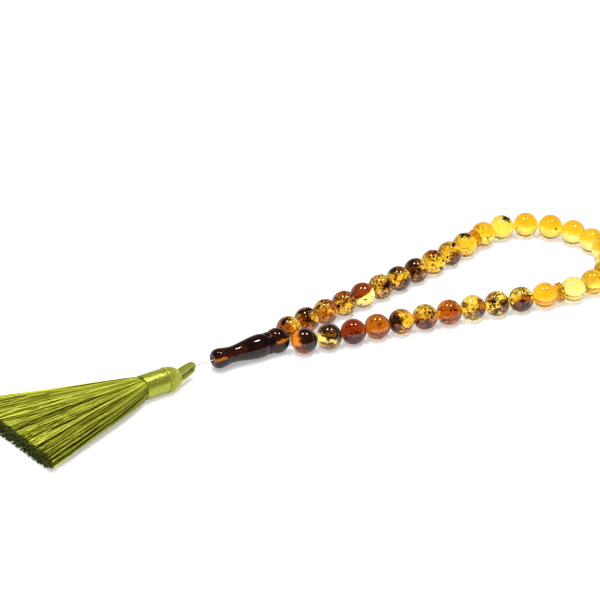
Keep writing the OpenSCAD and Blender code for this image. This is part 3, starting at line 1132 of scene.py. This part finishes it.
NEARER_RUN = [
    BeadLook(Amber.EMBER, (Patch(Amber.BLACK, (0.7, 0.4, 0.6), 0.2, 0.3),), 0.0, 0, 1.0),
    BeadLook(Amber.LEMON, (Patch(Amber.BLACK, (0.3, 0.8, 0.5), 0.25, 0.08),), 0.3, 8),
    BeadLook(
        Amber.EMBER,
        (Patch(Amber.CHERRY, (0.0, 0.3, 0.9), -0.3), Patch(Amber.BLACK, (0.1, -0.6, 0.7), 0.8)),
        0.5,
        30,
    ),
    BeadLook(Amber.GOLD, (Patch(Amber.BROWN, (0.1, 0.4, 0.8), -0.2, 0.4),), 0.05, 12),
    BeadLook(
        Amber.HONEY,
        (Patch(Amber.BLACK, (-0.8, 0.0, 0.5), 0.45), Patch(Amber.BROWN, (0.2, 0.9, 0.3), 0.8)),
        0.25,
        40,
    ),
    BeadLook(Amber.GOLD, (BROWN_FOOT,), 0.42, 110),
    BeadLook(Amber.ORANGE, (Patch(Amber.BROWN, (0.0, 0.1, 1.0), 0.5, 0.3),), 0.35, 50),
    BeadLook(Amber.STRAW, (Patch(Amber.BROWN, (0.8, 0.1, 0.5), 0.75),), 0.17, 45),
    BeadLook(
        Amber.STRAW,
        (Patch(Amber.CHERRY, (-0.5, 0.4, 0.6), 0.88), Patch(Amber.BLACK, (0.5, -0.2, 0.7), 0.88)),
        0.35,
        80,
    ),
    BeadLook(Amber.STRAW, (Patch(Amber.BROWN, (0.2, -0.4, 0.8), 0.7),), 0.58, 120),
    BeadLook(Amber.HONEY, (Patch(Amber.GOLD, (0.5, -0.3, 0.6), 0.1, 0.5),), 0.0, 6),
    BeadLook(Amber.LEMON),
    # These honey patches over the top are likewise partly the amber's own tone and partly painted shade.
    BeadLook(Amber.STRAW, (Patch(Amber.HONEY, (0.2, 0.7, 0.4), 0.4, 0.25),), 0.0, 4),
    BeadLook(Amber.LEMON, (Patch(Amber.HONEY, (0.0, 0.8, 0.4), 0.4, 0.25),), 0.0, 4),
]


@dataclass
class Strand:
    """The beads and separators on the loop."""

    bead_r: float = 5 * MM
    bore_r: float = 0.6 * MM
    lip: float = 0.22 * MM
    separator_r: float = 4.2 * MM
    separator_t: float = 2.2 * MM
    lobes: int = 8
    flute_depth: float = 0.7 * MM
    flute_power: float = 0.7
    crumb: float = 0.55 * MM
    crumb_room: float = 0.55 * MM
    crumb_bore_room: float = 0.825 * MM
    ball_steps: int = 44
    lip_steps: int = 4
    rim_steps: int = 14
    flute_segments: int = 96

    def __post_init__(self) -> None:
        """Lists the beads' looks from the imam, along the farther run and back."""
        self.looks = FARTHER_RUN + 2 * FARTHER_RUN[-1:] + TIP_BEAD + NEARER_RUN[::-1]
        self.crumbs = Crumbs()
        self.crumb_material = SpeckFinish().material("plant_crumbs")

    def wall_r(self) -> float:
        """Gives a radius just outside a bore's wall."""
        return self.bore_r + self.lip / 2

    def bead_outline(self) -> Outline:
        """Gives the section of a bored ball with softened bore mouths.

        Returns:
            Radius and height of each point.
        """
        mouth_r = self.bore_r + self.lip
        start = math.degrees(math.asin(mouth_r / self.bead_r))
        mouth_z = math.sqrt(self.bead_r**2 - mouth_r**2)
        round_way = arc(self.ball_steps, start, 180 - start)
        ball = [(self.bead_r * math.sin(a), self.bead_r * math.cos(a)) for a in round_way]
        bend = arc(self.lip_steps)[1:]
        turn = [(mouth_r - self.lip * math.sin(a), mouth_z - self.lip * (1 - math.cos(a))) for a in bend]
        wall = [(self.bore_r, (mouth_z - self.lip) * (k / 3)) for k in (-2, -1, 0, 1, 2)]
        return ball + [(r, -z) for r, z in turn] + wall + turn[::-1]

    def separator_outline(self) -> Outline:
        """Gives the section of a separator: a disc with a round rim and a bore.

        Returns:
            Radius and height of each point.
        """
        rim = self.separator_t / 2
        middle = self.separator_r - rim
        round_rim = arc(self.rim_steps, 90, -90)
        edge = [(middle + rim * math.cos(a), rim * math.sin(a)) for a in round_rim]
        mouth_r = self.bore_r + self.lip
        face = [(mouth_r + (middle - mouth_r) * k / 4, rim) for k in range(4)]
        inside = [(self.bore_r, rim - self.lip), (self.bore_r, 0.0), (self.bore_r, self.lip - rim)]
        return edge + [(r, -z) for r, z in face[::-1]] + inside[::-1] + face

    def flutes(self, radius: float, angle: float) -> float:
        """Gives how far the rim of a separator is drawn in between its lobes."""
        share = max(0.0, (radius - self.separator_r / 2) / (self.separator_r / 2))
        return self.flute_depth * share * (0.5 - 0.5 * math.cos(self.lobes * angle)) ** self.flute_power

    def build(self) -> None:
        """Makes every bead, its crumbs, and the separators."""
        for number, look in enumerate(self.looks, 1):
            self.build_bead(f"bead_{number:02d}", number, look)
        for name in ("separator_1", "separator_2"):
            place = strung_place(name)
            finish = AmberFinish(Amber.MILKY)
            material = finish.material(name + "_amber", place, self.separator_r, self.wall_r())
            outline = self.separator_outline()
            piece = turned(name + "_disc", outline, place, material, self.flute_segments, self.flutes)
            settle(piece, name, name)

    def build_bead(self, name: str, number: int, look: BeadLook) -> None:
        """Makes one bead.

        Args:
            name: The bead's node and body.
            number: Its number, which also seeds its pattern.
            look: What it is made of.
        """
        place = strung_place(name)
        finish = AmberFinish(look.body, look.patches, look.specks, number, look.ragged)
        material = finish.material(name + "_amber", place, self.bead_r, self.wall_r())
        settle(turned(name + "_ball", self.bead_outline(), place, material), name, name)
        if look.crumbs:
            sizes = {
                "Count": look.crumbs,
                "Seed": number,
                "Reach": self.bead_r - self.crumb_room,
                "Bore": self.bore_r + self.crumb_bore_room,
                "Crumb": self.crumb,
                "Finish": self.crumb_material,
            }
            settle(self.crumbs.make(name + "_crumbs", sizes, place), name, name, stands_for=False)


@dataclass
class Imam:
    """The turned head piece: knob, waist, belly, two rings and a ball."""

    ball_d: float = 10 * MM
    knob_d: float = 7.8 * MM
    face_d: float = 3.4 * MM
    waist_d: float = 6.5 * MM
    belly_d: float = 9.3 * MM
    ring_d: float = 8.7 * MM
    groove_d: float = 7.7 * MM
    knob_len: float = 2.8 * MM
    waist_len: float = 5.6 * MM
    belly_len: float = 12.6 * MM
    shoulder_len: float = 3 * MM
    ring_w: float = 1 * MM
    bore_r: float = 0.8 * MM
    lip: float = 0.25 * MM
    knob_steps: int = 14
    ease_steps: int = 16
    shoulder_steps: int = 12
    ring_steps: int = 10
    ball_steps: int = 30
    lip_steps: int = 4
    wall_steps: int = 12
    segments: int = 96

    def outline(self) -> Outline:
        """Gives the section from the knob's bore to the ball's and back inside.

        Returns:
            Radius and distance from the knob's face of each point.
        """
        mouth = self.bore_r + self.lip
        waist_s = self.knob_len + self.waist_len
        belly_s = waist_s + self.belly_len
        rings_s = belly_s + self.shoulder_len
        ball_r = self.ball_d / 2
        cut = math.sqrt(ball_r**2 - (self.groove_d / 2) ** 2)
        ball_s = rings_s + 2 * self.ring_w + cut
        face_r, knob_r = self.face_d / 2, self.knob_d / 2
        points = [(mouth, 0.0), ((mouth + face_r) / 2, 0.0)]
        for a in arc(self.knob_steps):
            points.append((face_r + (knob_r - face_r) * math.sin(a), self.knob_len * (1 - math.cos(a))))
        steps = [k / self.ease_steps for k in range(1, self.ease_steps + 1)]
        for t in steps:
            points.append((eased(self.knob_d, self.waist_d, t) / 2, self.knob_len + t * self.waist_len))
        for t in steps:
            points.append((eased(self.waist_d, self.belly_d, t) / 2, waist_s + t * self.belly_len))
        groove_r = self.groove_d / 2
        swell = self.belly_d / 2 - groove_r
        for a in arc(self.shoulder_steps)[1:]:
            points.append((groove_r + swell * math.cos(a), belly_s + self.shoulder_len * math.sin(a)))
        raised = self.ring_d / 2 - groove_r
        for n in (0, 1):
            for a in arc(self.ring_steps, 0, 180)[1:]:
                ring_s = rings_s + (n + (1 - math.cos(a)) / 2) * self.ring_w
                points.append((groove_r + raised * math.sin(a), ring_s))
        start = math.degrees(math.atan2(self.groove_d / 2, -cut))
        end = math.degrees(math.asin(mouth / ball_r))
        round_ball = arc(self.ball_steps, start, end)[1:]
        points += [(ball_r * math.sin(a), ball_s + ball_r * math.cos(a)) for a in round_ball]
        far = ball_s + math.sqrt(ball_r**2 - mouth**2)
        bend = arc(self.lip_steps)[1:]
        lip = [(mouth - self.lip * math.sin(a), self.lip * (1 - math.cos(a))) for a in bend]
        points += [(r, far - s) for r, s in lip]
        falling = range(self.wall_steps - 1, 0, -1)
        wall = [self.lip + (far - 2 * self.lip) * k / self.wall_steps for k in falling]
        return points + [(self.bore_r, s) for s in wall] + lip[::-1]

    def build(self) -> None:
        """Makes the imam."""
        low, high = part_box("imam")
        end = Vector((low.x, (low.y + high.y) / 2, (low.z + high.z) / 2))
        length = high.x - low.x
        material = ImamFinish().material("imam_amber", end, length, self.ball_d / 2)
        place = along_axis(end, (1, 0, 0))
        piece = turned("imam_turning", self.outline(), place, material, self.segments)
        settle(piece, "imam", "imam")


@dataclass
class Thread:
    """The stringing thread, its end loop round the tassel's eye, and the knot."""

    thread_r: float = 0.15 * MM
    run_gap: float = 0.1 * MM
    loop_clear: float = 0.15 * MM
    knot_d: float = 0.9 * MM
    loop_lead: float = 0.5 * MM
    pitch: float = 1.1 * MM
    step: float = 0.2 * MM
    ply_fill: float = 1.08
    loop_steps: int = 48
    knot_steps: int = 60
    knot_units: float = 6
    mouth_turn: Band = (0.8 * MM, 0.7 * MM)

    def __post_init__(self) -> None:
        """Opens the cord's tree and works out the end loop."""
        self.cord = TwistedCord(sides=5)
        self.material = ThreadFinish().material("thread_fibre")
        self.eye = Vector(joint("tassel_swing")["pos_m"])
        self.loop_r = EYE_CORD_D / 2 + self.loop_clear + self.thread_r

    def strung(self) -> List[str]:
        """Names what is strung, in order from the imam.

        Returns:
            The names of the beads and separators.
        """
        beads = [f"bead_{n:02d}" for n in range(1, 3 * BEADS_IN_RUN + 1)]
        second, third = BEADS_IN_RUN, 2 * BEADS_IN_RUN
        return beads[:second] + ["separator_1"] + beads[second:third] + ["separator_2"] + beads[third:]

    def route(self, strand: Strand) -> List[Vector]:
        """Gives the thread's way through the imam, round the loop and back.

        Args:
            strand: The beads that the thread runs through.

        Returns:
            The route's points.
        """
        spins = [joint(name + "_spin") for name in self.strung()]
        mouths = []
        for name, spin in zip(self.strung(), spins):
            half = strand.bead_r if name.startswith("bead") else strand.separator_t / 2
            reach = half * Vector(spin["axis"])
            centre = Vector(spin["pos_m"])
            mouths.append((centre - reach, centre + reach))
        loop = [(a[1] + b[0]) / 2 for a, b in zip(mouths, mouths[1:])]
        first = mouths[0][0] - self.loop_lead * Vector(spins[0]["axis"])
        last = mouths[-1][1] + self.loop_lead * Vector(spins[-1]["axis"])
        run_y = self.thread_r + self.run_gap / 2
        mouth = Vector((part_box("imam")[1].x, self.eye.y, self.eye.z))
        end = Vector((self.eye.x + self.loop_r, self.eye.y, self.eye.z))
        beside_axis = Vector((0, run_y, 0))
        farther = [end + beside_axis, mouth + beside_axis, mouth + Vector((*self.mouth_turn, 0))]
        nearer = [Vector((p.x, 2 * self.eye.y - p.y, p.z)) for p in farther]
        ball = mouth - Vector((strand.bead_r, 0, 0))
        beside = [(ball + Vector(spin["pos_m"])) / 2 for spin in (spins[0], spins[-1])]
        return farther + [beside[0], first] + loop + [last, beside[1]] + nearer[::-1]

    def sizes(self) -> Dict[str, object]:
        """Works out two plies of the thread.

        Returns:
            The cord tree's inputs.
        """
        ply = self.thread_r / 2
        return {
            "Plies": 2,
            "Ply Radius": ply * self.ply_fill,
            "Twist Radius": ply,
            "Pitch": self.pitch,
            "Step": self.step,
            "Finish": self.material,
        }

    def build(self, strand: Strand) -> None:
        """Makes the thread, its end loop and the knot.

        Args:
            strand: The beads that the thread runs through.
        """
        still = Matrix.Identity(4)
        run = self.cord.make("stringing_run", self.sizes(), still, self.route(strand))
        run.visible_transmission = False
        settle(run, "thread", "stringing_thread")
        round_way = arc(self.loop_steps, 0, 360)[:-1]
        ring = [self.eye + self.loop_r * Vector((math.cos(a), math.sin(a), 0)) for a in round_way]
        loop = self.cord.make("end_loop_ring", self.sizes(), still, ring, True)
        settle(loop, "end_loop", "thread_knot")
        back = Matrix.Rotation(math.pi + EYE_TURN, 3, "Z") @ Vector((1, 0, 0))
        middle = self.eye + (self.loop_r + self.knot_d / 2 - self.thread_r) * back
        size = (self.knot_d - 2 * self.thread_r) / self.knot_units
        knot = []
        for a in arc(self.knot_steps, 0, 360)[:-1]:
            lobe = (math.sin(a) + 2 * math.sin(2 * a), math.cos(a) - 2 * math.cos(2 * a), -math.sin(3 * a))
            knot.append(middle + size * Vector(lobe))
        tied = self.cord.make("end_loop_knot", self.sizes(), still, knot, True)
        settle(tied, "end_loop", "thread_knot", stands_for=False)


@dataclass
class Tassel:
    """The silk tassel: cord eye, domed head, satin wrap over a tie, and a skirt of strands."""

    turn: float = math.radians(2)
    eye_gap: float = 1.2 * MM
    eye_len: float = 8.5 * MM
    leg_len: float = 5 * MM
    head_d: float = 10 * MM
    dome_len: float = 7.2 * MM
    neck_d: float = 8.6 * MM
    wrap_len: float = 10.2 * MM
    wrap_t: float = 0.6 * MM
    tie_w: float = 3 * MM
    tie_t: float = 0.5 * MM
    skirt_len: float = 59 * MM
    skirt_w: float = 60 * MM
    skirt_h: float = 6.2 * MM
    skirt_drift: float = 2 * MM
    skirt_stray: float = 1.3 * MM
    skirt_lean: float = 0.4
    skirt_bow: float = 2.0
    skirt_overlap: float = 1 * MM
    strand_r: float = 0.26 * MM
    columns: int = 84
    rows: int = 12
    dome_strand_r: float = 0.15 * MM
    dome_strands: int = 200
    core_sink: float = 0.06 * MM
    neck_stop: float = 2 * MM
    wrap_thread_r: float = 0.15 * MM
    wrap_spacing: float = 1.7
    wrap_crown: float = 0.2
    band_clear: float = 0.05 * MM
    band_sink: float = 0.04 * MM
    eye_ply_r: float = 0.85 * MM
    eye_ply_apart: float = 0.9 * MM
    eye_pinch: float = 0.8
    eye_pitch: float = 1.0
    eye_step: float = 0.25 * MM
    bend_steps: int = 24
    dome_steps: int = 20

    def __post_init__(self) -> None:
        """Works out the tassel's place and its finishes."""
        self.eye = Vector(joint("tassel_swing")["pos_m"])
        self.eye_place = Matrix.Translation(self.eye) @ Matrix.Rotation(math.pi + EYE_TURN, 4, "Z")
        dome = Matrix.Translation((self.eye_len, 0, 0))
        bent = Matrix.Rotation(self.turn - EYE_TURN, 4, "Z")
        self.place = self.eye_place @ dome @ bent @ dome.inverted()
        self.silk = SilkFinish().material("silk_strands")
        self.satin = SatinFinish().material("satin_thread")
        # Painted light: a lighter copy of the satin for the dome, whose brighter colour stands in for the
        # light on it.
        lit_satin_copy = SatinFinish(light=(0.85, 0.88, 0.13), dark=(0.36, 0.39, 0.025))
        self.dome_lit_satin = lit_satin_copy.material("dome_lit_satin")
        self.wrap_x = self.eye_len + self.dome_len
        self.seam_x = self.wrap_x + self.wrap_len

    def lengthwise(self, x: float) -> Matrix:
        """Gives the place of a piece made round Z, at a distance from the eye."""
        return self.place @ Matrix.Translation((x, 0, 0)) @ Matrix.Rotation(math.pi / 2, 4, "Y")

    def build(self) -> None:
        """Makes every piece of the tassel."""
        self.build_eye()
        self.build_head()
        self.build_wrap()
        self.build_skirt()

    def build_eye(self) -> None:
        """Makes the eye: a flat cord of two ridges, bent to a U on its edge."""
        leg_z = (self.eye_gap + EYE_CORD_D) / 2
        reach = self.eye_len + self.leg_len
        half_turn = arc(self.bend_steps, 0, 180)
        bend = [Vector((leg_z * (1 - math.sin(a)), 0, leg_z * math.cos(a))) for a in half_turn]
        path = [Vector((reach, 0, leg_z))] + bend + [Vector((reach, 0, -leg_z))]
        sizes = {
            "Plies": 2,
            "Ply Radius": self.eye_ply_r,
            "Twist Radius": self.eye_ply_apart,
            "Pitch": self.eye_pitch,
            "Pinch": self.eye_pinch,
            "Step": self.eye_step,
            "Finish": self.satin,
        }
        eye = TwistedCord(sides=12).make("eye_cord", sizes, self.eye_place, path)
        settle(eye, "tassel", "tassel_eye")

    def build_head(self) -> None:
        """Makes the head: a core and the strands folded over it."""
        neck_r = self.neck_d / 2
        core_r = self.head_d / 2 - self.core_sink
        dome = arc(self.dome_steps)
        core = [(core_r * math.sin(a), self.eye_len + self.dome_len * (1 - math.cos(a))) for a in dome]
        stop_x = self.seam_x - self.neck_stop
        core += [(neck_r, self.wrap_x), (neck_r, stop_x), (0.0, stop_x)]
        piece = turned("head_core", core, self.lengthwise(0.0), self.dome_lit_satin)
        settle(piece, "tassel", "tassel_head")
        sizes = {
            "Strands": self.dome_strands,
            "Radius": self.head_d / 2 - self.dome_strand_r,
            "Height": self.dome_len,
            "Strand Radius": self.dome_strand_r,
            "Finish": self.dome_lit_satin,
        }
        top = self.place @ Matrix.Translation((self.eye_len, 0, 0))
        strands = DomeStrands(steps=14, sides=5).make("head_strands", sizes, top)
        settle(strands, "tassel", "tassel_head", stands_for=False)

    def build_wrap(self) -> None:
        """Makes the satin wrap: a band, the turns of thread on it, and the tie under it."""
        inner = self.neck_d / 2
        thread_r = self.wrap_thread_r
        flat = 1 - self.wrap_crown
        winding = Winding(steps=48, sides=5)
        band = [(inner + self.band_clear, self.wrap_len), (inner + self.band_clear, 0.0)]
        for a in arc(self.bend_steps, 0, 180):
            swell = flat + self.wrap_crown * max(0.0, math.sin(a)) ** Winding.crown_power
            band.append((inner + swell * self.wrap_t - self.band_sink, self.wrap_len * a / math.pi))
        piece = turned("wrap_band", band, self.lengthwise(self.wrap_x), self.satin)
        settle(piece, "tassel", "tassel_wrap")
        sizes = {
            "Turns": (self.wrap_len - 2 * thread_r) / (self.wrap_spacing * thread_r),
            "Length": self.wrap_len - 2 * thread_r,
            "Inner": inner + flat * self.wrap_t - thread_r,
            "Swell": self.wrap_crown * self.wrap_t,
            "Thread Radius": thread_r,
            "Finish": self.satin,
        }
        turns = winding.make("wrap_turns", sizes, self.lengthwise(self.wrap_x + thread_r))
        settle(turns, "tassel", "tassel_wrap", stands_for=False)
        tie = {
            "Turns": self.tie_w / (2 * thread_r),
            "Length": self.tie_w,
            "Inner": inner - self.tie_t / 2,
            "Swell": 0.0,
            "Thread Radius": thread_r,
            "Finish": self.satin,
        }
        tie_x = self.wrap_x + (self.wrap_len - self.tie_w) / 2
        bound = winding.make("tie_turns", tie, self.lengthwise(tie_x))
        settle(bound, "tassel", "tassel_tie")

    def build_skirt(self) -> None:
        """Makes the skirt of cut strands."""
        bundle = self.neck_d / 2 / math.sqrt(2 * (1 - SkirtStrands.corner_round / 2))
        sizes = {
            "Columns": self.columns,
            "Rows": self.rows,
            "Length": self.skirt_len,
            "Bundle": bundle,
            "Half Width": self.skirt_w / 2,
            "Half Height": self.skirt_h / 2,
            "Drift": self.skirt_drift,
            "Axis Height": self.eye.z,
            "Strand Radius": self.strand_r,
            "Stray": self.skirt_stray,
            "Lean": self.skirt_lean,
            "Bow": self.skirt_bow,
            "Finish": self.silk,
        }
        seam = self.place @ Matrix.Translation((self.seam_x - self.skirt_overlap, 0, 0))
        skirt = SkirtStrands(steps=13, sides=4).make("skirt_strands", sizes, seam)
        settle(skirt, "tassel", "tassel_skirt")


def rays_seen(graph: Graph) -> Tuple[Sock, Sock]:
    """Tells rays that show a surface from rays that only light others.

    Args:
        graph: The graph that asks.

    Returns:
        Whether the camera looks straight at the surface, and whether it does so at all, be it by way
        of a mirror or through glass.
    """
    outputs = graph.add("ShaderNodeLightPath").socket.node.outputs
    rays = ("Is Camera Ray", "Is Glossy Ray", "Is Transmission Ray")
    camera, glossy, through = (Sock(graph, outputs[name]) for name in rays)
    return camera, camera.at_least(glossy).at_least(through)


@dataclass
class Studio:
    """The white table, its light and the camera."""

    floor_half: float = 3.0
    floor_rough: float = 0.9
    white: float = 0.85
    glow: float = 0.4
    surround: float = 0.08
    lamp_away: float = 0.9
    lamp_size: float = 0.15
    lamp_watts: float = 2.8
    lamp_sides: Tuple[Tuple[str, float], ...] = (("lamp_left", -0.2), ("lamp_right", 0.33))
    lamp_up: float = 0.9
    lamp_near: float = 0.38
    fill_away: float = 1.5
    fill_size: float = 1.2
    fill_watts: float = 12.0
    fill_way: Way = (-0.1, 0.55, 0.83)
    behind_band: Band = (-0.1, 0.7)
    high_band: Band = (0.2, 0.5)
    sight: float = 50.0

    def build(self) -> None:
        """Makes the floor, the light and the camera."""
        self.build_floor()
        self.build_world()
        self.build_lamps()
        self.build_camera()

    def build_floor(self) -> None:
        """Makes a white floor that keeps shadows and reads as white behind the object."""
        h = self.floor_half
        mesh = bpy.data.meshes.new("floor")
        mesh.from_pydata([(-h, -h, 0), (h, -h, 0), (h, h, 0), (-h, h, 0)], [], [(0, 1, 2, 3)])
        matt = {"Roughness": self.floor_rough, "Specular IOR Level": 0.0, "Emission Strength": 1.0}
        paint = Paint("floor_white", {"Base Color": (self.white,) * 3, **matt})
        looked_at = rays_seen(paint.graph)[1]
        paint.feed("Emission Color", paint.graph.mix((0.0,) * 3, (self.glow,) * 3, looked_at))
        mesh.materials.append(paint.material)
        put("floor", mesh)

    def build_world(self) -> None:
        """Makes a surround that is white low behind the object and dim before and over it."""
        world = bpy.data.worlds.new("surround")
        bpy.context.scene.world = world
        world.use_nodes = True
        graph = Graph(world.node_tree)
        direction = graph.add("ShaderNodeTexCoord", None, None, "Generated")
        away = Vector((VIEW.away().x, VIEW.away().y, 0)).normalized()
        behind = graph.vector("DOT_PRODUCT", direction, tuple(away)).step(*self.behind_band)
        behind = behind * (1 - graph.parts(direction)[2].step(*self.high_band))
        camera, looked_at = rays_seen(graph)
        level = (self.surround + (1 - self.surround) * behind * looked_at).at_least(camera)
        graph.set(world.node_tree.nodes["Background"].inputs["Color"], graph.xyz(level, level, level))

    def build_lamps(self) -> None:
        """Hangs two small lamps side by side over the table, and a wide one in front."""
        for name, right in self.lamp_sides:
            way = VIEW.towards(right, self.lamp_up, self.lamp_near)
            self.hang(name, way, self.lamp_away, self.lamp_size, self.lamp_watts)
        front = VIEW.towards(*self.fill_way)
        fill = self.hang("fill", front, self.fill_away, self.fill_size, self.fill_watts)
        fill.visible_glossy = False

    def hang(self, name: str, way: Vector, distance: float, size: float, watts: float) -> bpy.types.Object:
        """Hangs one round lamp that shines on the object.

        Args:
            name: The lamp's name.
            way: Where it hangs, as seen from the object.
            distance: How far away it hangs, in metres.
            size: Its diameter, in metres.
            watts: Its power.

        Returns:
            The lamp.
        """
        light = bpy.data.lights.new(name, "AREA")
        light.shape = "DISK"
        light.size = size
        light.energy = watts
        lamp = bpy.data.objects.new(name, light)
        lamp.location = Vector(VIEW.target) + way * distance
        lamp.rotation_euler = way.to_track_quat("Z", "Y").to_euler()
        bpy.context.scene.collection.objects.link(lamp)
        return lamp

    def build_camera(self) -> None:
        """Sets up the camera and the plain view transform."""
        camera = bpy.data.cameras.new("camera")
        camera.lens = VIEW.lens_mm
        camera.clip_end = self.sight
        holder = bpy.data.objects.new("camera", camera)
        holder.location = Vector(VIEW.target) - VIEW.distance * VIEW.away()
        holder.rotation_euler = VIEW.away().to_track_quat("-Z", "Y").to_euler()
        bpy.context.scene.collection.objects.link(holder)
        bpy.context.scene.camera = holder
        bpy.context.scene.view_settings.view_transform = "Standard"


def main() -> None:
    """Builds the strand, the imam, the thread, the tassel and the studio, in that order."""
    logging.basicConfig(level=logging.INFO, format="%(name)s: %(message)s")
    strand = Strand()
    strand.build()
    Imam().build()
    Thread().build(strand)
    Tassel().build()
    Studio().build()


if __name__ == "__main__":
    main()
